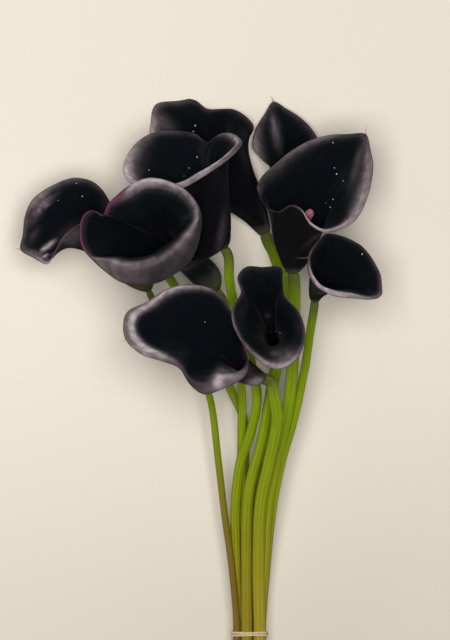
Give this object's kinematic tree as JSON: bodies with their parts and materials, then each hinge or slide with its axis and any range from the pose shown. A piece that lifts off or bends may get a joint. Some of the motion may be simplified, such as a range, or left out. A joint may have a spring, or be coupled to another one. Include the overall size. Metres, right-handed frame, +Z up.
{
  "type": "calla lily bunch",
  "caption": "Cut bunch of near-black calla lilies lying down: rolled funnel-shaped spathes at staggered heights, long smooth green stems gathered in a thin rubber band.",
  "frame": {"origin": "on the surface that the bunch lies on, under the middle of its bounding box", "axes": "+Y along the bunch from the cut ends to the heads, +X to the right as the bunch's face is seen, +Z up, away from the surface"},
  "size_m": [0.2184, 0.44, 0.1285],
  "materials": {
    "spathe": "waxy satin, near-black purple with paler rims",
    "spadix": "matte, finely grained",
    "stem": "smooth fresh green, fleshy",
    "band": "pale tan, slightly translucent"
  },
  "bodies": {
    "root": {"stem_left_front": "stem", "spathe_left_front": "spathe", "spadix_left_front": "spadix", "stem_upper": "stem", "spathe_upper": "spathe", "spadix_upper": "spadix", "stem_top_back": "stem", "spathe_top_back": "spathe", "spadix_top_back": "spadix", "stem_far_left": "stem", "spathe_far_left": "spathe", "spadix_far_left": "spadix", "stem_lower_left": "stem", "spathe_lower_left": "spathe", "spadix_lower_left": "spadix", "stem_lower_front": "stem", "spathe_lower_front": "spathe", "spadix_lower_front": "spadix", "stem_right_big": "stem", "spathe_right_big": "spathe", "spadix_right_big": "spadix", "stem_right_low": "stem", "spathe_right_low": "spathe", "spadix_right_low": "spadix", "stem_upper_right": "stem", "spathe_upper_right": "spathe", "spadix_upper_right": "spadix", "stem_hidden_back": "stem", "spathe_hidden_back": "spathe", "spadix_hidden_back": "spadix", "rubber_band": "band"}
  },
  "joints": []
}
